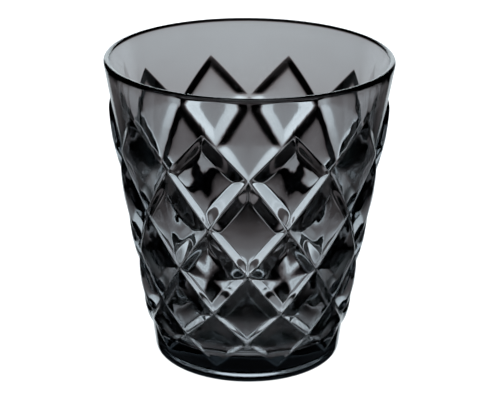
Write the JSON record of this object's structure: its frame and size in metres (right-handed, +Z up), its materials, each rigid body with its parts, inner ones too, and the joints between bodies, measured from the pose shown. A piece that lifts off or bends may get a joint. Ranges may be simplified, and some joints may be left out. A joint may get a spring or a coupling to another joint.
{
  "type": "whiskey tumbler",
  "caption": "Tapered whiskey tumbler in smoked glass, its wall pressed with raised diamond pillows between a plain rim and a plain foot.",
  "frame": {"origin": "centre of the foot, in the plane that the foot ring stands on", "axes": "+Z up along the axis of the cup, from foot to rim; -Y and +Y each look at a groove crossing of the pillow lattice"},
  "size_m": [0.086, 0.086, 0.0935],
  "materials": {
    "smoked_glass": "fire-polished gloss, grey throughout"
  },
  "bodies": {
    "root": {"tumbler": "smoked_glass"}
  },
  "joints": []
}
